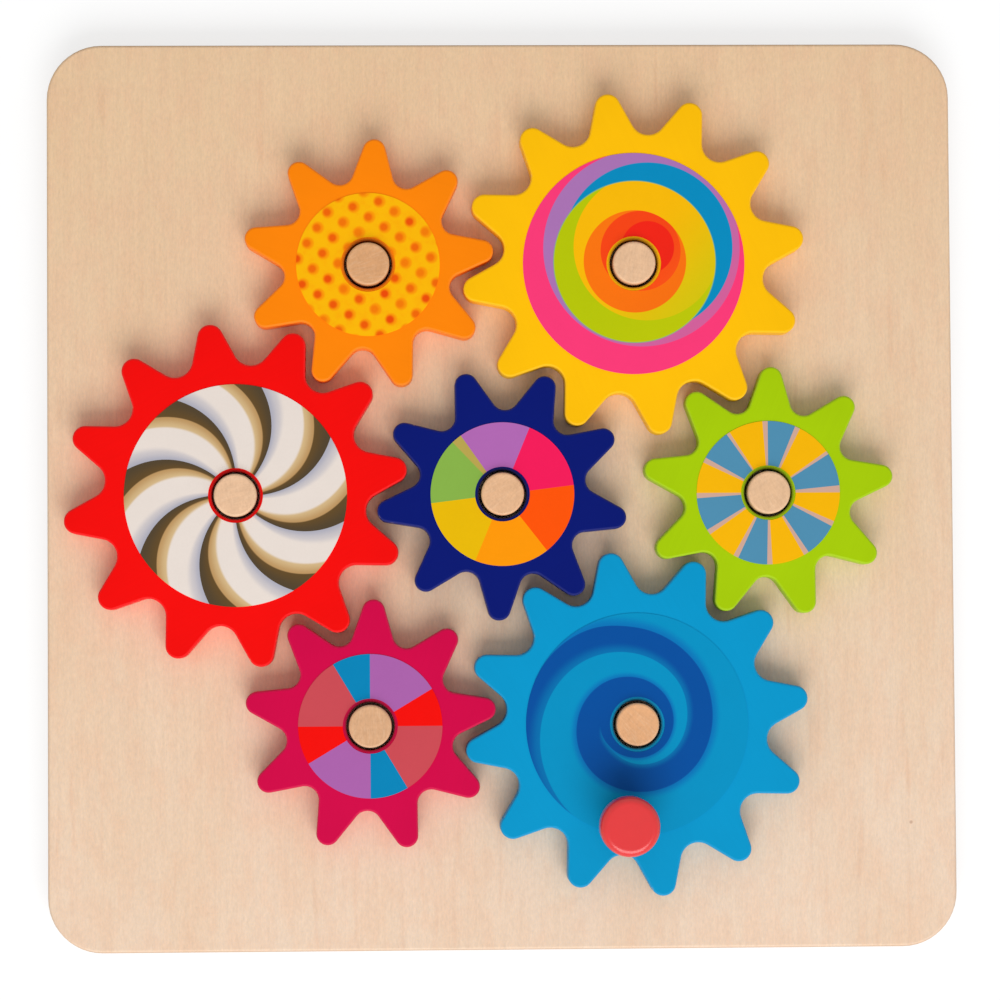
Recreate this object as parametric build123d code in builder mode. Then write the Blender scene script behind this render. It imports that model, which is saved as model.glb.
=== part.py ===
# Gear board toy: seven toothed wooden wheels on pegs, turned together by a knob on one of them.
#
# Millimetres, +Z up. The origin is the centre of the board's underside, and +Y points to the
# board's upper edge as it lies in front of the player.
#
# Seven pegs stand on a triangular grid, one in the middle and six round it. Large and small
# gears take turns round the ring, and a small one stands in the middle, so each gear meshes
# only with gears of the other size. Each gear turns loosely on its peg and carries a thin
# round print on its face. The crank gear, at the lower right, also carries the knob.

from build123d import *
from math import cos, pi, radians, sin, tan
import os

os.makedirs("parts", exist_ok=True)

# ---- The gear train ----
peg_pitch = 87.5  # from each peg to its nearest neighbours
large_teeth = 12
small_teeth = 9
module = 2 * peg_pitch / (large_teeth + small_teeth)

# Tooth sizes are in modules, so that both sizes keep meshing at any peg pitch. The comments
# give them in millimetres for the pitch above. Widths are taken on the pitch circle.
large_tip_height = 0.816  # 6.8 above the pitch circle
small_tip_height = 0.48  # 4.0
tip_gap = 0.36  # 3.0, left between a tip and the hollow that it enters
large_tooth_width = 1.296  # 10.8
small_tooth_width = 0.96  # 8.0
large_flank_angle = 20.0  # degrees between a flank and the tooth's centre line
small_flank_angle = 17.5

large_tooth_angle = 8.92  # degrees from +X to a tooth of each large gear
orange_lag = 1.5  # degrees that the orange gear stands back within the play of its teeth

# ---- Thicknesses and heights ----
board_thickness = 12.0
gear_thickness = 10.0
print_thickness = 0.2
running_gap = 0.3  # between the board and the gears
peg_rise = 3.0  # of a peg above the gear faces
peg_floor = 3.0  # wood left under each peg hole

# ---- Radii and margins ----
peg_radius = 7.0
peg_round = 0.8
bore_play = 0.9  # all round, between a peg and its gear
glue_gap = 0.05  # all round, in the glued holes
bore_rim = 1.1  # painted rim left between a bore and the print
large_print_inset = 6.5  # from the large gears' hollows to their prints
small_print_inset = 4.1
gear_edge_round = 0.8
edge_margin = 5.7  # from the outermost tooth tips to the board's edge
board_corner_radius = 18.0
board_edge_round = 1.0

# ---- The crank knob and its dowel ----
knob_inset = 10.2  # from the crank gear's hollows to the knob's centre
knob_bearing = -96.5  # degrees from +X, seen from the crank gear's peg
knob_height = 20.0
knob_head_radius = 9.75
knob_head_height = 9.5
knob_head_round = 2.5
knob_shoulder_round = 1.2  # under the head
knob_neck_radius = 6.6
knob_foot_radius = 8.0
knob_foot_height = 2.0
knob_foot_round = 0.6
knob_clearance = 0.3  # between the knob's foot and the print round it
dowel_radius = 3.0
dowel_depth_in_gear = 7.0
dowel_depth_in_knob = 11.0
dowel_end_gap = 0.5  # glue pocket over the dowel's end
dowel_chamfer = 0.4


class GearForm:
    """Outline of a gear: a star whose points and hollows are rounded."""

    def __init__(self, teeth, tip_height, mate_tip_height, tooth_width, flank_angle, print_inset):
        half_width = module * tooth_width / 2
        half_step = pi / teeth
        flank = radians(flank_angle)
        self.teeth = teeth
        self.pitch_radius = module * teeth / 2
        self.tip_radius = self.pitch_radius + module * tip_height
        self.root_radius = self.pitch_radius - module * (mate_tip_height + tip_gap)
        self.print_radius = self.root_radius - print_inset

        # Both flanks of a tooth, drawn on, meet at the star's point. The flanks on both sides
        # of a gap meet at the star's hollow. Each corner is rounded until it reaches its circle.
        self.point_radius = self.pitch_radius + half_width / tan(flank)
        self.hollow_radius = (half_width + tan(flank) * self.pitch_radius) / (
            sin(half_step) + tan(flank) * cos(half_step)
        )
        self.tip_round = (self.point_radius - self.tip_radius) / (1 / sin(flank) - 1)
        self.root_round = (self.root_radius - self.hollow_radius) / (1 / sin(half_step + flank) - 1)

    def corners(self):
        """Points and hollows of the star in turn, from a tooth on +X."""
        for step in range(2 * self.teeth):
            radius = self.hollow_radius if step % 2 else self.point_radius
            angle = pi * step / self.teeth
            yield (radius * cos(angle), radius * sin(angle))


def meshing_angle(direction):
    """Tooth angle of a small gear that lies in this direction from a large one, in degrees."""
    turned = large_teeth * large_tooth_angle
    return ((large_teeth + small_teeth) * direction - turned) / small_teeth


def polar(radius, degrees):
    """The point at this radius and angle."""
    return (radius * cos(radians(degrees)), radius * sin(radians(degrees)))


large = GearForm(
    large_teeth, large_tip_height, small_tip_height, large_tooth_width, large_flank_angle, large_print_inset
)
small = GearForm(
    small_teeth, small_tip_height, large_tip_height, small_tooth_width, small_flank_angle, small_print_inset
)

board_side = 2 * (peg_pitch + large.tip_radius + edge_margin)
bore_radius = peg_radius + bore_play
gear_bottom = board_thickness + running_gap
gear_top = gear_bottom + gear_thickness
peg_bottom = peg_floor
peg_top = gear_top + peg_rise

# Each gear's outline, the place of its peg and its tooth angle. The ring starts at the right
# and runs counter-clockwise. Seen from the next large gear on the ring, a small gear lies
# 60 degrees back from its own bearing.
ring_step = 60
gears = {"blue": (small, (0, 0), meshing_angle(0))}
for place, name in enumerate(["green", "yellow", "orange", "red", "pink", "crank"]):
    bearing = ring_step * place
    centre = polar(peg_pitch, bearing)
    if place % 2:
        gears[name] = (large, centre, large_tooth_angle)
    else:
        lag = orange_lag if name == "orange" else 0
        gears[name] = (small, centre, meshing_angle(bearing - ring_step) - lag)

knob_offset = polar(large.root_radius - knob_inset, knob_bearing)
knob_centre = tuple(peg + reach for peg, reach in zip(gears["crank"][1], knob_offset))


def seat(centre, height, angle=0):
    """Level plane over a point of the board, turned by an angle in degrees."""
    return Plane(origin=(*centre, height), x_dir=(*polar(1, angle), 0), z_dir=(0, 0, 1))


def keep(piece, name):
    """Label a finished piece and write it."""
    piece.part.label = name
    export_step(piece.part, f"parts/{name}.step")


# ---- Board: a square panel with rounded corners and a blind hole under each peg ----
with BuildPart() as base_board:
    with BuildSketch():
        RectangleRounded(board_side, board_side, board_corner_radius)
    extrude(amount=board_thickness)
    faces_across = base_board.faces().filter_by(Axis.Z)
    fillet(faces_across.edges(), board_edge_round)
    with Locations(*[(*centre, board_thickness) for form, centre, angle in gears.values()]):
        Hole(peg_radius + glue_gap, depth=board_thickness - peg_floor)
keep(base_board, "base_board")

# ---- Pegs: dowels glued into the board, standing a little above the gears ----
for name, (form, centre, angle) in gears.items():
    with BuildPart() as peg:
        with BuildSketch(seat(centre, peg_bottom)):
            Circle(peg_radius)
        extrude(amount=peg_top - peg_bottom)
        fillet(peg.edges().group_by(Axis.Z)[-1], peg_round)
    keep(peg, f"{name}_gear_peg")

# ---- Gears: toothed wheels with softened edges and a loose bore ----
for name, (form, centre, angle) in gears.items():
    with BuildPart() as gear:
        with BuildSketch(seat(centre, gear_bottom, angle)) as outline:
            Polygon(*form.corners(), align=None)
            fillet(outline.vertices().sort_by_distance((0, 0))[-form.teeth :], form.tip_round)
            fillet(outline.vertices().sort_by_distance((0, 0))[: form.teeth], form.root_round)
            Circle(bore_radius, mode=Mode.SUBTRACT)
        extrude(amount=gear_thickness)
        faces_across = gear.faces().filter_by(Axis.Z)
        fillet(faces_across.edges(), gear_edge_round)
        if name == "crank":
            with Locations((*knob_centre, gear_top)):
                Hole(dowel_radius + glue_gap, depth=dowel_depth_in_gear)
    keep(gear, f"{name}_gear")

# ---- Prints: thin discs on the gear faces, the crank gear's notched round the knob ----
for name, (form, centre, angle) in gears.items():
    with BuildPart() as print_disc:
        with BuildSketch(seat(centre, gear_top)):
            Circle(form.print_radius)
            Circle(bore_radius + bore_rim, mode=Mode.SUBTRACT)
            if name == "crank":
                with Locations(knob_offset):
                    Circle(knob_foot_radius + knob_clearance, mode=Mode.SUBTRACT)
        extrude(amount=print_thickness)
    keep(print_disc, f"{name}_gear_print")

# ---- Knob: a turned grip with a rounded head, a hollowed neck and a foot glued to the gear ----
knob_axis = Axis((*knob_centre, gear_top), (0, 0, 1))
bore_wall = dowel_radius + glue_gap
foot_rim = (knob_foot_radius, knob_foot_height)
shoulder = (knob_head_radius, knob_height - knob_head_height)
neck = (knob_neck_radius, (knob_foot_height + knob_height - knob_head_height) / 2)
head_rim = (knob_head_radius, knob_height)
with BuildPart() as crank_knob:
    with BuildSketch(Plane(knob_axis.position, x_dir=(1, 0, 0), z_dir=(0, -1, 0))) as profile:
        with BuildLine():
            Polyline((bore_wall, 0), (knob_foot_radius, 0), foot_rim)
            ThreePointArc(foot_rim, neck, shoulder)
            Polyline(shoulder, head_rim, (0, knob_height), (0, dowel_depth_in_knob))
            Polyline((0, dowel_depth_in_knob), (bore_wall, dowel_depth_in_knob), (bore_wall, 0))
        make_face()
        for corner, radius in (
            (foot_rim, knob_foot_round),
            (shoulder, knob_shoulder_round),
            (head_rim, knob_head_round),
        ):
            fillet(profile.vertices().sort_by_distance(corner)[0], radius)
    revolve(axis=knob_axis)
keep(crank_knob, "crank_knob")

# ---- Dowel: a hidden pin glued into the gear and the knob ----
with BuildPart() as knob_dowel:
    with BuildSketch(seat(knob_centre, gear_top - dowel_depth_in_gear)):
        Circle(dowel_radius)
    extrude(amount=dowel_depth_in_gear + dowel_depth_in_knob - dowel_end_gap)
    chamfer(knob_dowel.edges().filter_by(GeomType.CIRCLE), dowel_chamfer)
keep(knob_dowel, "crank_knob_dowel")
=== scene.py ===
# %% [markdown]
# # A wooden gear board
# The toy is a square of plywood with seven painted gears that turn on dowel pegs. A red knob on
# one gear turns them all. The CAD frame already holds every piece at its real size, so this
# lesson is about looks: bare wood, painted wood, printed discs, and soft studio light.
# A piece could be modelled again here, but the CAD shapes are right, so they stay and only get
# their finishes. That way what turns and fits is exactly what is seen.

# %% Load the frame
import math
import bpy
from mathutils import Euler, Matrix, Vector


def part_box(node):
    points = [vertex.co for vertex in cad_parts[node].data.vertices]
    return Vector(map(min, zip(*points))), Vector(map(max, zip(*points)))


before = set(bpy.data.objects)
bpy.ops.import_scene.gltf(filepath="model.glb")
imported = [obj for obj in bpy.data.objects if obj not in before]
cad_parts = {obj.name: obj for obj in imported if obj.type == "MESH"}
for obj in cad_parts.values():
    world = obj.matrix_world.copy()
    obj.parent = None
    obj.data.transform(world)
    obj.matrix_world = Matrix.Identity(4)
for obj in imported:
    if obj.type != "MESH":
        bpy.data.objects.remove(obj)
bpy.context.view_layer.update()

# %% [markdown]
# ## The camera
# The picture looks straight down at the board from about 1.2 m, a little left of its middle. The
# board's corners and the pegs' tops fix that place: low pieces and high pieces shift differently
# when the eye moves. A long lens is used, because the picture was taken from well back. A flat
# view with no perspective would be simpler, but it would hide the near sides of the gears.

# %% Camera
EYE = Vector((-0.035, -0.0448, 1.2))        # metres
EYE_TILT = (2.094, -1.649, -0.369)          # degrees about X, Y and Z
FOCAL_LENGTH_IN_PIXELS = 3591.2
PICTURE_WIDTH = 1000
SENSOR_WIDTH = 36.0                         # millimetres

camera_data = bpy.data.cameras.new("eye")
camera_data.sensor_width = SENSOR_WIDTH
camera_data.lens = FOCAL_LENGTH_IN_PIXELS * SENSOR_WIDTH / PICTURE_WIDTH
camera = bpy.data.objects.new("eye", camera_data)
camera.location = EYE
camera.rotation_euler = Euler([math.radians(angle) for angle in EYE_TILT])
bpy.context.scene.collection.objects.link(camera)
bpy.context.scene.camera = camera
print("lens in millimetres:", round(camera_data.lens, 1))

# %% [markdown]
# ## Arithmetic on sockets
# A finish is a small program made of nodes. Written one node and one link at a time it is hard to
# read, so a socket is wrapped in a class that knows plus, minus, times and so on. Each sign adds
# one Math node. The reflected forms let a plain number stand on the left, as in 1 - mask.

# %% A socket that can be added and multiplied
def both_ways(operation):
    """The two methods of one arithmetic sign: the wire on its left, and on its right."""
    return (lambda self, other: self.maths(operation, self, other),
            lambda self, other: self.maths(operation, other, self))


class Wire:
    """An output socket in a finish. Arithmetic on it adds Math nodes to that finish."""

    def __init__(self, finish, socket):
        self.finish, self.socket = finish, socket

    def maths(self, operation, *values):
        inputs = dict(enumerate(values))
        return self.finish.node("ShaderNodeMath", {"operation": operation}, inputs)

    __add__, __radd__ = both_ways("ADD")
    __sub__, __rsub__ = both_ways("SUBTRACT")
    __mul__, __rmul__ = both_ways("MULTIPLY")
    __truediv__, __rtruediv__ = both_ways("DIVIDE")
    __mod__, __rmod__ = both_ways("FLOORED_MODULO")

    def floor(self):
        return self.maths("FLOOR", self)

    def size(self):
        return self.maths("ABSOLUTE", self)

    def root(self):
        return self.maths("SQRT", self)

    def most(self, other):
        return self.maths("MAXIMUM", self, other)

    def least(self, other):
        return self.maths("MINIMUM", self, other)


print("a wire understands + - * / %")

# %% [markdown]
# ## A finish and its nodes
# Every other node comes from one method. It takes the node's type, then its settings, because
# some settings change which sockets a node has, and then the values or wires of its sockets.
# Colours never pass through Math nodes, which would turn them grey. They go through Mix.

# %% Finish
MM = 1000.0                                 # millimetres in a metre


def tone(red, green, blue):
    """A colour as a paint chart gives it, 0 to 255, in the linear light that shaders use."""
    def linear(value):
        value /= 255
        return value / 12.92 if value <= 0.04045 else ((value + 0.055) / 1.055) ** 2.4
    return linear(red), linear(green), linear(blue), 1.0


class Finish:
    """The nodes of one material, or of the world."""

    def __init__(self, owner):
        owner.use_nodes = True
        self.owner, self.tree = owner, owner.node_tree
        self.tree.nodes.clear()

    def node(self, kind, settings=None, inputs=None, output=0):
        """Adds a node, sets it, joins its inputs, and gives one of its outputs as a wire."""
        made = self.tree.nodes.new(kind)
        for name, value in (settings or {}).items():
            if name == "stops":
                self.lay_stops(made.color_ramp, value)
            elif name == "curve":
                self.lay_curve(made.mapping, value)
            else:
                setattr(made, name, value)
        for name, value in (inputs or {}).items():
            socket = made.inputs[name]
            if isinstance(value, Wire):
                self.tree.links.new(value.socket, socket)
            else:
                socket.default_value = value[:3] if socket.type == "VECTOR" else value
        return Wire(self, made.outputs[output]) if made.outputs else made

    def lay_stops(self, ramp, stops):
        """Hard-edged stops of a colour ramp, as (place from 0 to 1, colour)."""
        ramp.interpolation = "CONSTANT"
        while len(ramp.elements) < len(stops):
            ramp.elements.new(1.0)
        for element, (place, colour) in zip(ramp.elements, stops):
            element.position, element.color = place, colour

    def lay_curve(self, mapping, points):
        """The points of a curve from 0 to 1 in both directions."""
        curve = mapping.curves[0]
        while len(curve.points) < len(points):
            curve.points.new(0.5, 0.5)
        for point, place in zip(curve.points, points):
            point.location, point.handle_type = place, "AUTO_CLAMPED"
        mapping.update()

    def ramp(self, value, start, end):
        """0 up to start, 1 from end on, and a smooth rise between."""
        return self.node("ShaderNodeMapRange", {"interpolation_type": "SMOOTHSTEP"},
                         {"Value": value, "From Min": start, "From Max": end})

    def mix(self, share, first, second, blend="MIX"):
        """The first colour where share is 0, and the second where it is 1."""
        return self.node("ShaderNodeMix", {"data_type": "RGBA", "blend_type": blend},
                         {0: share, 6: first, 7: second}, 2)

    def shade(self, colour, strength):
        """A colour made lighter or darker as a whole."""
        return self.node("ShaderNodeVectorMath", {"operation": "SCALE"},
                         {0: colour, "Scale": strength})

    def join(self, x, y, z):
        return self.node("ShaderNodeCombineXYZ", inputs={0: x, 1: y, 2: z})

    def part(self, vector):
        """The three numbers of a vector."""
        split = self.node("ShaderNodeSeparateXYZ", inputs={0: vector})
        return [Wire(self, socket) for socket in split.socket.node.outputs]

    def noise(self, x, y, z, detail=2.0, roughness=0.5):
        """Cloudy noise about 0.5. Its lumps are one unit wide in each of x, y and z."""
        return self.node("ShaderNodeTexNoise", {"noise_dimensions": "3D"},
                         {"Vector": self.join(x, y, z), "Scale": 1.0, "Detail": detail,
                          "Roughness": roughness})

    def place(self, centre=(0.0, 0.0)):
        """Where a point of the piece is at rest, in millimetres from a centre on the board."""
        at = self.node("ShaderNodeTexCoord", output=3)
        x, y, z = self.part(self.node("ShaderNodeVectorMath", {"operation": "SCALE"},
                                      {0: at, "Scale": MM}))
        return x - centre[0], y - centre[1], z

    def reach(self, x, y):
        """How far a point is from the centre."""
        return (x * x + y * y).root()

    def polar(self, x, y):
        """How far a point is from the centre, and its bearing in radians from the right."""
        bearing = self.node("ShaderNodeMath", {"operation": "ARCTAN2"}, {0: y, 1: x})
        return self.reach(x, y), bearing

    def facing(self):
        """Which way the surface faces at rest, as three numbers from -1 to 1."""
        return self.part(self.node("ShaderNodeTexCoord", output=1))

    def rounding(self, nz):
        """1 halfway round a rounded edge, and 0 on level faces and upright sides."""
        return nz.size() * (1 - nz.size()) * 4

    def bump(self, height, depth_mm):
        """Small relief: a height from 0 to 1, and how deep that is in millimetres."""
        return self.node("ShaderNodeBump", inputs={"Height": height, "Strength": 1.0,
                                                   "Distance": depth_mm / MM})

    def surface(self, colour, roughness, normal, **fixed):
        """Ends the finish in a Principled shader. What is fixed is set on the shader itself."""
        inputs = {"Base Color": colour, "Roughness": roughness, "Normal": normal}
        inputs.update({name.replace("_", " "): value for name, value in fixed.items()})
        shader = self.node("ShaderNodeBsdfPrincipled", inputs=inputs)
        self.node("ShaderNodeOutputMaterial", inputs={"Surface": shader})
        return self.owner


def new_finish(name):
    return Finish(bpy.data.materials.new(name))


def wear(node_name, material):
    """Puts a finish on a CAD piece, in every slot of its object."""
    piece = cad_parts[node_name]
    if not piece.material_slots:
        piece.data.materials.append(material)
    for slot in piece.material_slots:
        slot.link = "OBJECT"
        slot.material = material


print("toy red in linear light:", [round(part, 3) for part in tone(247, 10, 12)])

# %% [markdown]
# ## Soft studio light
# The real picture was lit by one very wide lamp over the near edge, with a bright room around.
# The shadows fall away from the viewer. They are darkest in the hollows between the teeth and
# fade out within 15 mm. A sun lamp would cut hard shadows, so an area lamp and a plain world
# share the work. Together they bring a flat, white, matt surface to just about 1, so that each
# colour renders about as it is written.

# %% Lamp and world
LAMP_PLACE = Vector((0.14, -1.50, 1.60))    # metres
LAMP_SIZE = (2.00, 1.40)                    # metres
LAMP_WATTS = 35.5
ROOM_LIGHT = 0.53

lamp_data = bpy.data.lights.new("window_lamp", "AREA")
lamp_data.shape = "RECTANGLE"
lamp_data.size, lamp_data.size_y = LAMP_SIZE
lamp_data.energy = LAMP_WATTS
lamp = bpy.data.objects.new("window_lamp", lamp_data)
lamp.location = LAMP_PLACE
lamp.rotation_euler = LAMP_PLACE.to_track_quat("Z", "Y").to_euler()
bpy.context.scene.collection.objects.link(lamp)

room = Finish(bpy.data.worlds.new("room"))
bpy.context.scene.world = room.owner


def seen_directly(finish):
    """1 for what the camera sees directly, in a gloss or through glass, and 0 for lighting."""
    direct = finish.node("ShaderNodeLightPath", output="Is Camera Ray")
    gloss = Wire(finish, direct.socket.node.outputs["Is Glossy Ray"])
    through = Wire(finish, direct.socket.node.outputs["Is Transmission Ray"])
    return direct.most(gloss).most(through)


lighting = room.node("ShaderNodeBackground", inputs={0: (1, 1, 1, 1), 1: ROOM_LIGHT})
backdrop = room.node("ShaderNodeBackground", inputs={0: (1, 1, 1, 1), 1: 1.0})
sky = room.node("ShaderNodeMixShader", inputs={0: seen_directly(room), 1: lighting, 2: backdrop})
room.node("ShaderNodeOutputWorld", inputs={"Surface": sky})
bpy.context.scene.view_settings.view_transform = "Standard"
lamp_share = LAMP_WATTS / math.pi**2 * LAMP_PLACE.normalized().z / LAMP_PLACE.length_squared
print("light on a flat surface:", round(lamp_share + ROOM_LIGHT, 2))

# %% [markdown]
# ## The floor
# The board lies on plain white paper. Paper alone renders pale grey under this light, and more
# light would burn out the board, so the paper glows a little, only for the eye. The object's
# shadow stays, because the glow is only what the paper lacks to be white.

# %% Floor
FLOOR_HALF = 4.0                            # metres
FLOOR_DROP = 0.0001                         # so that the board's underside isn't in the paper
PAPER = 0.36
PAPER_GLOW = 0.68

floor_mesh = bpy.data.meshes.new("paper")
floor_mesh.from_pydata([(x * FLOOR_HALF, y * FLOOR_HALF, -FLOOR_DROP)
                        for x, y in ((-1, -1), (1, -1), (1, 1), (-1, 1))], [], [(0, 1, 2, 3)])
floor = bpy.data.objects.new("paper", floor_mesh)
bpy.context.scene.collection.objects.link(floor)
paper = new_finish("paper")
matt = paper.node("ShaderNodeBsdfDiffuse", inputs={0: (PAPER, PAPER, PAPER, 1)})
glow = paper.node("ShaderNodeEmission", inputs={0: (1, 1, 1, 1), 1: PAPER_GLOW})
lit = paper.node("ShaderNodeAddShader", inputs={0: matt, 1: glow})
sheet = paper.node("ShaderNodeMixShader", inputs={0: seen_directly(paper), 1: matt, 2: lit})
paper.node("ShaderNodeOutputMaterial", inputs={"Surface": sheet})
floor_mesh.materials.append(paper.owner)
print("paper renders at about", round(PAPER * (lamp_share + ROOM_LIGHT) + PAPER_GLOW, 2))

# %% [markdown]
# ## The plywood board
# The board is pale plywood: thin sheets of wood glued with their grain crossed. The face sheet's
# grain runs straight up the picture. Close up it is a fine mottle of short dashes, half a
# millimetre wide and a few long, with faint pink and straw tints, hardly any streaks, and one
# small dark knot and a speck. Towards the near edge it is paler: that is the lamp's sheen on the
# lacquer, painted into the colour. The sides show every sheet, long grain and end grain by turns,
# with thin glue lines. A painted image would stop at the edges. A solid texture, worked out from
# where a point is in the board, carries on round every corner.
# The mottle changes the colour as well as the brightness, because flecks of wood differ in hue.

# %% Board
BOARD_THICKNESS = 12.0                      # millimetres, as all lengths below
PLY_COUNT = 9
PLY = BOARD_THICKNESS / PLY_COUNT
PLY_STEP = 17.0                             # so that no sheet repeats the grain of the next
KNOT, KNOT_SQUEEZE = (0.9, -37.0), 0.894    # the knot is a little longer than wide
SPECK = (135.0, -109.0)
# The near wood is paler with the lamp's sheen, which is painted into the colour.
SHEEN_FADE_DOWN, SHEEN_FADE_ACROSS = 270.0, 1800.0      # over which the far wood turns into the near wood
FAR_WOOD, PAINTED_SHEEN_WOOD = tone(232, 199, 163), tone(233, 208, 187)
STRAW, BLUSH, STREAK = tone(222, 181, 140), tone(231, 184, 152), tone(214, 160, 124)
FLECK, END_WOOD, GLUE = tone(255, 251, 240), tone(196, 150, 106), tone(120, 78, 46)
KNOT_HALO, KNOT_HEART, SPECK_BROWN = tone(188, 128, 84), tone(92, 46, 30), tone(150, 92, 55)


def board_finish():
    f = new_finish("board_wood")
    x, y, z = f.place()
    nx, ny, nz = f.facing()
    height = z.most(0.01).least(BOARD_THICKNESS - 0.01)
    ply = (height / PLY).floor()
    crossed = ply % 2
    across = x + crossed * (y - x)
    along = y + crossed * (x - y)
    depth = z + ply * PLY_STEP
    end_grain = f.ramp((1 - crossed) * ny.size() + crossed * nx.size(), 0.6, 0.95)

    dash = f.noise(across / 0.6, along / 1.7, depth / 0.6, 2, 0.6)
    fibre = f.noise(across / 0.9, along / 26, depth / 0.9, 3, 0.6)
    grit = f.noise(x / 0.5, y / 0.5, z / 0.5, 1)
    broad = f.noise(across / 24, along / 90, depth / 24, 2)
    blush = f.noise(across / 5, along / 11, depth / 5, 2, 0.55)
    streak = f.ramp(f.noise(across / 3.4, along / 34, depth / 3.4, 2, 0.4), 0.60, 0.80)
    pores = f.ramp(f.noise(x / 0.22, y / 0.22, z / 0.22, 1), 0.55, 0.7)

    # Painted sheen: the wood turns paler towards the near edge, as the lamp's reflection in the
    # lacquer would make it.
    painted_sheen = (0.5 - y / SHEEN_FADE_DOWN + x / SHEEN_FADE_ACROSS).most(0).least(1)
    wood = f.mix(painted_sheen, FAR_WOOD, PAINTED_SHEEN_WOOD)
    wood = f.mix(f.ramp(broad, 0.35, 0.75) * 0.22, wood, STRAW)
    wood = f.mix(f.ramp(blush, 0.35, 0.7) * 0.26, wood, BLUSH)
    wood = f.mix(streak * 0.22, wood, STREAK)
    wood = f.shade(wood, 1 + (dash - 0.5) * 0.27 + (fibre - 0.5) * 0.13 + (grit - 0.5) * 0.11)
    wood = f.mix(f.ramp(grit, 0.3, 0.7), wood, FLECK, "MULTIPLY")
    wood = f.mix(end_grain * 0.75, wood, f.shade(END_WOOD, 1 + (fibre - 0.5) * 0.2))
    wood = f.shade(wood, 1 - end_grain * pores * 0.22)
    side = 1 - nz.size()
    glue = f.ramp(((height / PLY % 1) - 0.5).size(), 0.44, 0.49)
    wood = f.mix(f.ramp(side, 0.5, 0.9) * glue * 0.6, wood, GLUE)

    face = f.ramp(nz, 0.5, 0.9)
    knot_reach = f.reach(x - KNOT[0], (y - KNOT[1]) * KNOT_SQUEEZE) + (fibre - 0.5) * 0.5
    halo = (1 - f.ramp(knot_reach, 0.8, 3.4)) * face
    heart = (1 - f.ramp(knot_reach, 0.65, 1.25)) * face
    wood = f.mix(halo * 0.35, wood, KNOT_HALO)
    wood = f.mix(heart * 0.9, wood, KNOT_HEART)
    speck = (1 - f.ramp(f.reach(x - SPECK[0], y - SPECK[1]), 0.25, 0.8)) * face
    wood = f.mix(speck * 0.45, wood, SPECK_BROWN)
    rubbed = f.ramp(nz, 0.2, 0.6) * (1 - f.ramp(nz, 0.8, 0.98))
    wood = f.shade(wood, 1 - rubbed * 0.04)

    relief = dash * 0.5 + fibre * 0.5 - heart * 0.6 - pores * end_grain * 0.6
    roughness = 0.52 + (fibre - 0.5) * 0.12 + end_grain * 0.2
    return f.surface(wood, roughness, f.bump(relief, 0.03))


wear("base_board", board_finish())
print("sheets in the board:", PLY_COUNT, "each", round(PLY, 2), "mm")

# %% [markdown]
# ## Pegs cut from dowel
# A peg's top shows end grain: a fine mottle, crossed by pale rays and saw marks, with the growth
# rings only just there. The dowel was cut from a plank, so the rings' middle is far outside the
# peg, in a different direction for each, and some pegs are of a warmer wood. Down the side the
# grain runs straight. A cylinder's texture could be wrapped round the peg and a disc laid on top,
# but they would meet in a seam. So the wood is solid again, in rings about the plank's middle.
# Where each peg stands is read from the CAD frame.

# %% Pegs
def middle(node_name):
    """Where a CAD piece stands, seen from above, in millimetres."""
    low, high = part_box(node_name)
    return tuple((low[axis] + high[axis]) / 2 * MM for axis in (0, 1))


GEARS = ("blue", "green", "yellow", "orange", "red", "pink", "crank")
GEAR_CENTRES = {gear: middle(f"{gear}_gear_peg") for gear in GEARS}
KNOB_CENTRE = middle("crank_knob")
RING_WIDTH = 1.5                            # millimetres, as all lengths here
RING_WANDER = 1.4
# The second tone is a painted highlight for the rounded top edge of each peg.
RAY_WOOD, RIM_HIGHLIGHT_WOOD = tone(240, 206, 172), tone(236, 200, 160)


def dowel_finish(name, centre, ring_bearing, ring_distance, wood_tone):
    f = new_finish(name)
    x, y, z = f.place(centre)
    nx, ny, nz = f.facing()
    middle_x = ring_distance * math.cos(math.radians(ring_bearing))
    middle_y = ring_distance * math.sin(math.radians(ring_bearing))
    out_x, out_y = x - middle_x, y - middle_y
    wander = f.noise(x / 4, y / 4, z / 60, 2)
    out, bearing = f.polar(out_x, out_y)
    out = out + (wander - 0.5) * RING_WANDER
    ring = out / RING_WIDTH % 1
    late_wood = f.ramp(ring, 0.45, 0.95) * (1 - f.ramp(ring, 0.95, 1.0))
    rays = f.ramp(f.noise(bearing * ring_distance / 0.45, out / 3.0, z / 4, 2), 0.45, 0.75)
    sawn = f.noise(bearing * ring_distance / 0.9, out / 5.0, z / 40, 3, 0.65)
    fibre = f.noise(x / 0.6, y / 1.1, z / 9, 2, 0.6)
    cloud = f.noise(x / 3.5, y / 3.5, z / 25, 2)
    top = f.ramp(nz.size(), 0.6, 0.95)

    wood = f.shade(wood_tone, 1.01 + (cloud - 0.5) * 0.24 - late_wood * 0.03)
    wood = f.mix(top * rays * 0.22, wood, RAY_WOOD)
    wood = f.shade(wood, 1 + (fibre - 0.5) * 0.24 + (sawn - 0.5) * 0.26 - (1 - top) * 0.06)
    # Painted highlight: the rounded top edge is made paler, as if light caught it.
    painted_rim_highlight = f.ramp(nz, 0.15, 0.6) * (1 - f.ramp(nz, 0.75, 0.98))
    wood = f.mix(painted_rim_highlight * 0.3, wood, RIM_HIGHLIGHT_WOOD)
    relief = fibre * 0.5 + sawn * 0.5 + late_wood * 0.2
    return f.surface(wood, 0.55 - top * 0.05 + (fibre - 0.5) * 0.1, f.bump(relief, 0.025))


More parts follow.
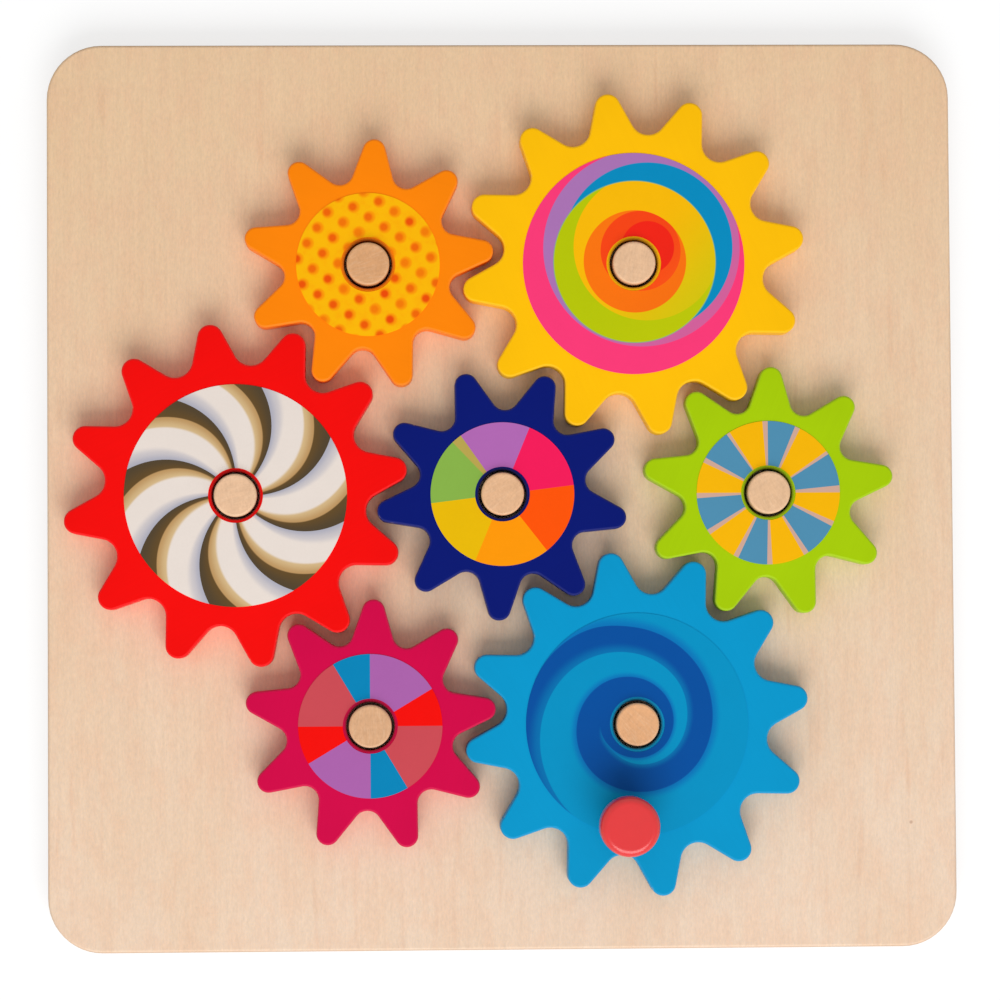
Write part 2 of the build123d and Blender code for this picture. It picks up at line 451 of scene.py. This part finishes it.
PEG_WOOD = {   # bearing and distance of the rings' middle, and the wood
    "blue": (35, 30, tone(226, 177, 134)), "green": (120, 42, tone(227, 184, 143)),
    "yellow": (75, 34, tone(229, 185, 145)), "orange": (200, 26, tone(216, 159, 108)),
    "red": (15, 38, tone(230, 187, 149)), "pink": (88, 30, tone(214, 164, 121)),
    "crank": (135, 24, tone(225, 167, 117)),
}
for gear, centre in GEAR_CENTRES.items():
    wear(f"{gear}_gear_peg", dowel_finish(f"{gear}_peg_wood", centre, *PEG_WOOD[gear]))
wear("crank_knob_dowel", dowel_finish("knob_dowel_wood", KNOB_CENTRE, 60, 20, PEG_WOOD["red"][2]))
print("dowels:", len(GEAR_CENTRES) + 1)

# %% [markdown]
# ## Painted gears
# The gears are sawn from thin board, sanded round at the edges and sprayed with two coats of satin
# toy paint. Real paint isn't one flat colour. It is a shade thinner and lighter where it runs over
# an edge, it lets a trace of the grain below show as relief, and it has the fine skin of orange
# peel. Shade is painted into the colour as well: a touch darker out on the teeth, and much
# darker in the bore's rim, where the edge of the bore shades it. Small hands polish the edges and
# leave a few tiny nicks. The direction that the surface faces tells where the rounded edge is, so
# no mask has to be painted.
# The gloss is held low, because the photographed colours are deep and clear.

# %% Gear paint
GEAR_PAINTS = {
    "blue": tone(0, 19, 110), "green": tone(165, 202, 0), "yellow": tone(255, 192, 0),
    "orange": tone(255, 134, 0), "red": tone(244, 4, 2), "pink": tone(207, 0, 70),
    "crank": tone(0, 149, 201),
}
BARE_WOOD = tone(232, 196, 152)             # in the nicks
PAINT_GLOSS = 0.08
HUB = 9.0                                   # the print's inner edge
TOOTH_SHADE_ZONE = 18.0                           # from the tips inwards
FIRST_GRAIN, GRAIN_STEP = 20, 47            # degrees, so that no two gears' grain lies alike


def paint_finish(name, colour, centre, grain_bearing, tip_radius):
    f = new_finish(name)
    x, y, z = f.place(centre)
    nx, ny, nz = f.facing()
    turn = math.radians(grain_bearing)
    along = x * math.cos(turn) + y * math.sin(turn)
    across = y * math.cos(turn) - x * math.sin(turn)
    cloud = f.noise(x / 16, y / 16, z / 16, 2)
    peel = f.noise(x / 0.55, y / 0.55, z / 0.55, 2, 0.55)
    grain = f.noise(across / 0.7, along / 18, z / 0.7, 3, 0.55)
    patch = f.noise(x / 2.6, y / 2.6, z / 2.6, 3, 0.6)

    edge = f.rounding(nz)
    distance = f.reach(x, y)
    # Painted shade: the teeth are made a touch darker towards their tips.
    painted_tooth_shade = f.ramp(distance, tip_radius - TOOTH_SHADE_ZONE, tip_radius)
    # Painted shade: the paint is made much darker round the bore, where the bore's edge shades it.
    hub = 1 - f.ramp(distance, HUB - 1.0, HUB + 0.3)
    coat = f.shade(colour, 1.03 + (cloud - 0.5) * 0.08 + (grain - 0.5) * 0.06 - painted_tooth_shade * 0.03
                   - hub * 0.35)
    coat = f.mix(edge * 0.05, coat, f.mix(0.5, colour, (1, 1, 1, 1)))
    nick = f.ramp(edge * f.ramp(patch, 0.62, 0.72), 0.55, 0.85)
    coat = f.mix(nick * 0.25, coat, BARE_WOOD)
    relief = peel * 0.45 + grain * 0.8 - nick * 1.2
    roughness = 0.40 + (cloud - 0.5) * 0.10 + (peel - 0.5) * 0.06 - edge * 0.06 + nick * 0.2
    return f.surface(coat, roughness, f.bump(relief, 0.018), Specular_IOR_Level=PAINT_GLOSS)


for number, (gear, centre) in enumerate(GEAR_CENTRES.items()):
    low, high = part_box(f"{gear}_gear")
    tip_radius = (high[0] - low[0]) / 2 * MM    # about, because no tooth may lie just sideways
    grain_bearing = FIRST_GRAIN + GRAIN_STEP * number
    wear(f"{gear}_gear",
         paint_finish(f"{gear}_paint", GEAR_PAINTS[gear], centre, grain_bearing, tip_radius))
print("painted gears:", len(GEAR_PAINTS))

# %% [markdown]
# ## The knob
# The knob was turned on a lathe, then dipped in glossy red. The lathe leaves fine rings round
# its axis that still show under the paint, and the dip leaves it smoother than the gears. A clear
# coat over a soft base gives that wet look without making the colour brighter.

# %% Knob paint
KNOB_RED, WORN_RED = tone(222, 22, 26), tone(244, 92, 84)
LATHE_RING = 0.45


def knob_finish():
    f = new_finish("knob_paint")
    x, y, z = f.place(KNOB_CENTRE)
    nx, ny, nz = f.facing()
    cloud = f.noise(x / 7, y / 7, z / 7, 2)
    lathe = f.noise(f.reach(x, y) / LATHE_RING, 0.0, z / LATHE_RING, 2)
    skin = f.noise(x / 0.9, y / 0.9, z / 0.9, 2)
    red = f.shade(KNOB_RED, 1 + (cloud - 0.5) * 0.10 + (lathe - 0.5) * 0.05)
    red = f.mix(f.rounding(nz) * 0.08, red, WORN_RED)
    rubbed = f.ramp(f.noise(x / 3, y / 3, z / 3, 3, 0.6), 0.6, 0.75)
    relief = lathe * 0.6 + skin * 0.4
    roughness = 0.30 + (skin - 0.5) * 0.08 + rubbed * 0.10
    return f.surface(red, roughness, f.bump(relief, 0.012), Coat_Weight=0.35,
                     Coat_Roughness=0.12)


wear("crank_knob", knob_finish())
print("knob centre:", KNOB_CENTRE)

# %% [markdown]
# ## Ink on the printed discs
# Each gear carries a thin printed disc whose pattern changes when the gear spins. The pattern
# is worked out from the distance and the bearing from the gear's middle, so it turns with the
# gear and has crisp edges at any size, where a picture wrapped on the disc would blur. All the
# discs share the last step: ink that is a little uneven, on a satin film with a faint tooth.

# %% Helpers for patterns
INK_BLUR = 0.11                             # on each side of a printed edge


def print_place(f, gear):
    """x and y from the gear's middle, the distance from it, and the bearing in turns."""
    x, y, z = f.place(GEAR_CENTRES[gear])
    distance, bearing = f.polar(x, y)
    return x, y, distance, bearing / (2 * math.pi) % 1


def inked(f, colour):
    """The surface of a printed disc in the given colours."""
    x, y, z = f.place()
    mottle = f.noise(x / 0.8, y / 0.8, z, 3, 0.6)
    cloud = f.noise(x / 9, y / 9, z, 2)
    tooth = f.noise(x / 0.35, y / 0.35, z / 0.35, 2)
    colour = f.shade(colour, 1 + (mottle - 0.5) * 0.045 + (cloud - 0.5) * 0.05)
    scuff = f.ramp(f.noise(x / 6, y / 0.5 + x / 9, z, 2), 0.66, 0.74)
    roughness = 0.36 + (mottle - 0.5) * 0.08 + scuff * 0.10
    return f.surface(colour, roughness, f.bump(tooth + mottle * 0.5, 0.006),
                     Specular_IOR_Level=PAINT_GLOSS)


def disc_mask(f, x, y, radius, offset):
    """1 inside a circle and 0 outside it."""
    distance = f.reach(x - offset[0], y - offset[1])
    return 1 - f.ramp(distance, radius - INK_BLUR, radius + INK_BLUR)


print("a disc's pattern starts from", GEAR_CENTRES["yellow"])

# %% [markdown]
# ### Dots on the orange gear
# A square net of dots, turned a third of a right angle. Each dot is a soft orange spot with a
# darker heart set to its left, as if it were a dimple, and some hearts are stronger than others.
# The net is one cell repeated: the remainder of a division by the dots' distance gives the place
# in the cell, and the whole part of it gives each cell its own luck.

# %% Orange print
DOT_PITCH = 6.1
DOT_BEARING = -33.3
DOT_START = (0.656, 0.189)                  # in pitches
DOT_RADIUS = 2.05
HEART_RADIUS = 1.45
HEART_SHIFT = 0.30
GROUND, STAIN = tone(255, 186, 0), tone(255, 160, 0)
SPOT, HEART = tone(254, 148, 0), tone(238, 74, 0)


def dots_print(gear):
    f = new_finish(f"{gear}_print")
    x, y, distance, bearing = print_place(f, gear)
    turn = math.radians(DOT_BEARING)

    def net(px):
        u = (px * math.cos(turn) + y * math.sin(turn)) / DOT_PITCH - DOT_START[0] + 0.5
        v = (y * math.cos(turn) - px * math.sin(turn)) / DOT_PITCH - DOT_START[1] + 0.5
        du, dv = (u % 1 - 0.5) * DOT_PITCH, (v % 1 - 0.5) * DOT_PITCH
        return u, v, f.reach(du, dv)

    u, v, to_dot = net(x)
    luck = f.node("ShaderNodeTexWhiteNoise", {"noise_dimensions": "3D"},
                  {"Vector": f.join(u.floor(), v.floor(), 1.0)})
    strength = 0.40 + luck * 0.60
    stain = f.ramp(f.noise(x / 3, y / 3, 0.0, 2), 0.45, 0.75)
    colour = f.mix(stain * 0.35, GROUND, STAIN)
    colour = f.mix((1 - f.ramp(to_dot, DOT_RADIUS - 0.5, DOT_RADIUS + 0.4)) * 0.85,
                   colour, SPOT)
    heart = 1 - f.ramp(net(x + HEART_SHIFT)[2], HEART_RADIUS - 0.7, HEART_RADIUS + 0.4)
    colour = f.mix(heart * strength, colour, HEART)
    return inked(f, colour)


wear("orange_gear_print", dots_print("orange"))
print("dots:", DOT_PITCH, "mm apart")

# %% [markdown]
# ### Nested circles on the yellow gear
# Three families of discs lie one in another: pink, violet and blue, then green and yellow, then
# orange and red. In each family the later discs are set further up and to the right, and are cut
# off where the first one ends, which makes crescents. Spinning, they seem to tumble. They are
# painted in order, the largest first, with a soft drift of colour in the violet and the yellow.

# %% Yellow print
PINK_GROUND = tone(253, 58, 121)
DRIFT_START, DRIFT_END = -10.0, 42.0        # along the diagonal to the lower right
FIRST_GREEN, FIRST_ORANGE = (26.6, (0.3, 0.6)), (16.9, (0.4, 0.7))
NESTED_DISCS = [   # radius and offset, the disc that cuts it off, colour, colour at lower right
    ((32.4, (2.6, 5.0)), None, tone(172, 116, 182), tone(212, 97, 156)),
    ((28.0, (4.65, 5.4)), None, tone(0, 140, 192), tone(0, 140, 192)),
    ((26.85, (0.3, 0.6)), None, tone(128, 176, 128), tone(128, 176, 128)),
    (FIRST_GREEN, None, tone(184, 199, 0), tone(190, 201, 0)),
    ((24.2, (4.4, 5.4)), FIRST_GREEN, tone(252, 188, 0), tone(212, 198, 8)),
    (FIRST_ORANGE, None, tone(254, 118, 10), tone(248, 110, 12)),
    ((13.2, (2.3, 4.2)), FIRST_ORANGE, tone(250, 69, 18), tone(252, 92, 22)),
    ((8.7, (4.65, 5.3)), None, tone(246, 36, 20), tone(232, 36, 20)),
]


def nested_print(gear):
    f = new_finish(f"{gear}_print")
    x, y, distance, bearing = print_place(f, gear)
    drift = f.ramp(x - y, DRIFT_START, DRIFT_END)
    colour = PINK_GROUND
    for (radius, offset), cut, first, second in NESTED_DISCS:
        disc = disc_mask(f, x, y, radius, offset)
        if cut:
            disc = disc * disc_mask(f, x, y, *cut)
        colour = f.mix(disc, colour, f.mix(drift, first, second))
    return inked(f, colour)


wear("yellow_gear_print", nested_print("yellow"))
print("nested discs:", len(NESTED_DISCS) + 1)

# %% [markdown]
# ### The swirl on the red gear
# Eight curved arms run from the hub to the rim: a dark one, a beige shade on one side and a pale
# blue shade on the other, on white. An arm is a straight stripe in a frame where the bearing is
# turned a little more with every millimetre outwards. Each edge is one parabola in that frame.

# %% Red print
ARMS = 8
ARM_PITCH = 360 / ARMS
SWIRL_MIDDLE = 23.0
WHITE, PALE_BLUE = tone(234, 222, 213), tone(176, 175, 188)
INNER_BEIGE, OUTER_BEIGE = tone(190, 150, 98), tone(214, 184, 136)
FIRST_DARK, LAST_DARK = tone(80, 66, 46), tone(98, 74, 40)


def parabola(distance, level, slope, bend):
    """Degrees as a function of the distance from the hub, given at the swirl's middle."""
    out = distance - SWIRL_MIDDLE
    return out * slope + out * out * bend + level


def swirl_print(gear):
    f = new_finish(f"{gear}_print")
    x, y, distance, bearing = print_place(f, gear)
    dark_width = parabola(distance, 8.0, 0.30, 0.012)
    beige_end = parabola(distance, 17.1, 0.325, 0.0045)
    blue_width = parabola(distance, 10.0, 0.10, 0.0)
    stripe = (bearing * 360 - parabola(distance, 14.4, 1.10, 0.011)) % ARM_PITCH
    degree = math.degrees(1) / distance     # degrees in one millimetre of arc

    shade_side = (f.ramp(stripe, ARM_PITCH - blue_width, ARM_PITCH - blue_width * 0.5) * 0.55
                  + f.ramp(stripe, ARM_PITCH - blue_width * 0.6, ARM_PITCH) * 0.45)
    colour = f.mix(shade_side, WHITE, PALE_BLUE)
    beige = 1 - f.ramp(stripe, beige_end - degree * 0.7, beige_end + degree * 0.5)
    rise = f.ramp(stripe, dark_width, beige_end)
    colour = f.mix(beige, colour, f.mix(rise, INNER_BEIGE, OUTER_BEIGE))
    dark = 1 - f.ramp(stripe, dark_width - degree * 0.3, dark_width + degree * 0.3)
    fall = f.ramp(stripe, 0.0, dark_width)
    colour = f.mix(dark, colour, f.mix(fall, FIRST_DARK, LAST_DARK))
    return inked(f, colour)


wear("red_gear_print", swirl_print("red"))
print("arms:", ARMS)

# %% [markdown]
# ### The spiral on the crank gear
# A dark band winds in from the rim, clockwise, getting broader and then closing up round the hub.
# Its two edges are curves: how far out they are after each degree of winding. Each turn
# of the band is tested in the same way, and a point is dark if any turn covers it. The band
# starts hard and mid blue at its inner edge, and deepens outwards. Past its outer edge, which is
# hard too, a mid blue glow fades into the disc's blue.

# %% Crank print
WINDING_ORIGIN, WINDING_LEAD = 225.0, 10.0  # bearing where winding is 0, and a lead before it
WINDING_START, WINDING_END = -45.0, 800.0   # degrees of winding
BAND_TURNS = 3
EDGE_BLUR = 0.15
CURVE_REACH = 40.0                          # millimetres at the top of the curve's box
BAND_OUTSIDE = [(-45, 37.6), (45, 37.0), (90, 36.0), (135, 31.7), (180, 27.7), (225, 24.6),
                (270, 23.2), (315, 22.1), (360, 21.5), (405, 19.85), (450, 17.8), (495, 15.3),
                (540, 13.2), (585, 11.85), (630, 11.2), (675, 11.0), (720, 11.5), (765, 12.25),
                (795, 12.0), (800, 0.0)]
BAND_INSIDE = [(-45, 39.0), (-10, 36.6), (15, 34.3), (45, 31.55), (90, 27.6), (135, 23.1),
               (180, 19.3), (225, 16.15), (270, 14.4), (315, 13.0), (360, 11.9), (385, 11.8),
               (415, 9.0), (440, 0.0), (800, 0.0)]
DEEPENING, GLOW = 0.14, 0.12                # widths, as shares of the distance from the hub
DISC_BLUE, GLOW_BLUE = tone(0, 145, 195), tone(3, 116, 184)
BAND_BLUE, DEEP_BLUE = tone(2, 112, 174), tone(0, 78, 157)


def spiral_print(gear):
    f = new_finish(f"{gear}_print")
    x, y, distance, bearing = print_place(f, gear)

    def edge(points, winding):
        along = (winding - WINDING_START) / (WINDING_END - WINDING_START)
        box = [((at - WINDING_START) / (WINDING_END - WINDING_START), out / CURVE_REACH)
               for at, out in points]
        return f.node("ShaderNodeFloatCurve", {"curve": box}, {"Value": along}) * CURVE_REACH

    lead = WINDING_ORIGIN + WINDING_LEAD
    first_winding = (lead - bearing * 360) % 360 - WINDING_LEAD
    band = deep = glow = 0.0
    for turn in range(BAND_TURNS):
        winding = (first_winding + 360.0 * turn).least(WINDING_END)
        outside, inside = edge(BAND_OUTSIDE, winding), edge(BAND_INSIDE, winding)
        within = ((1 - f.ramp(distance, outside - EDGE_BLUR, outside + EDGE_BLUR))
                  * f.ramp(distance, inside - EDGE_BLUR, inside + EDGE_BLUR))
        band = within.most(band)
        deep = (within * f.ramp(distance, inside, inside * (1 + DEEPENING) + 0.1)).most(deep)
        beyond = f.ramp(distance, outside - 0.5, outside)
        glow = (beyond * (1 - f.ramp(distance, outside, outside * (1 + GLOW) + 0.1))).most(glow)
    colour = f.mix(glow, DISC_BLUE, GLOW_BLUE)
    colour = f.mix(band, colour, BAND_BLUE)
    colour = f.mix(deep, colour, DEEP_BLUE)
    return inked(f, colour)


wear("crank_gear_print", spiral_print("crank"))
print("turns of the band:", round((WINDING_END - WINDING_START) / 360, 2))

# %% [markdown]
# ### Colour wheels on the small gears
# The other three discs are cut like pies. A ramp with hard stops, read by the bearing, gives each
# slice its colour. It takes one node where a mask for every slice would take dozens.

# %% Blue, green and pink prints
VIOLET, PLUM, SKY = tone(178, 104, 180), tone(171, 98, 171), tone(79, 142, 176)
MAUVE, RED, YELLOW = tone(203, 75, 84), tone(245, 8, 2), tone(248, 183, 0)
STRIP, WATER = tone(208, 168, 150), tone(0, 132, 184)
PIES = {   # each slice's first bearing in degrees, anticlockwise from the right
    "blue": [(0, tone(255, 84, 0)), (7, tone(246, 25, 90)), (67, VIOLET),
             (124, tone(186, 165, 80)), (133, tone(136, 179, 73)), (187, tone(235, 187, 0)),
             (247, tone(255, 153, 0)), (307, tone(255, 84, 0))],
    "green": [(0, STRIP), (5, SKY), (31, STRIP), (35, YELLOW), (63, STRIP), (67, SKY),
              (90, STRIP), (94, YELLOW), (121, STRIP), (125, SKY), (150, STRIP), (154, YELLOW),
              (179, STRIP), (183, SKY), (210, STRIP), (214, YELLOW), (240, STRIP), (244, SKY),
              (268, STRIP), (272, YELLOW), (299, STRIP), (303, SKY), (331, STRIP),
              (335, YELLOW)],
    "pink": [(0, RED), (30, PLUM), (90, WATER), (120, MAUVE), (180, RED), (210, PLUM),
             (270, WATER), (300, MAUVE)],
}


def pie_print(gear):
    f = new_finish(f"{gear}_print")
    x, y, distance, bearing = print_place(f, gear)
    stops = [(start / 360, colour) for start, colour in PIES[gear]]
    return inked(f, f.node("ShaderNodeValToRGB", {"stops": stops}, {0: bearing}))


for gear in PIES:
    wear(f"{gear}_gear_print", pie_print(gear))
print("slices:", {gear: len(slices) for gear, slices in PIES.items()})

# %% [markdown]
# ## The finishes made
# The lesson ends by counting the finishes that it made.

# %% Finish
print("finishes made:", len(bpy.data.materials))
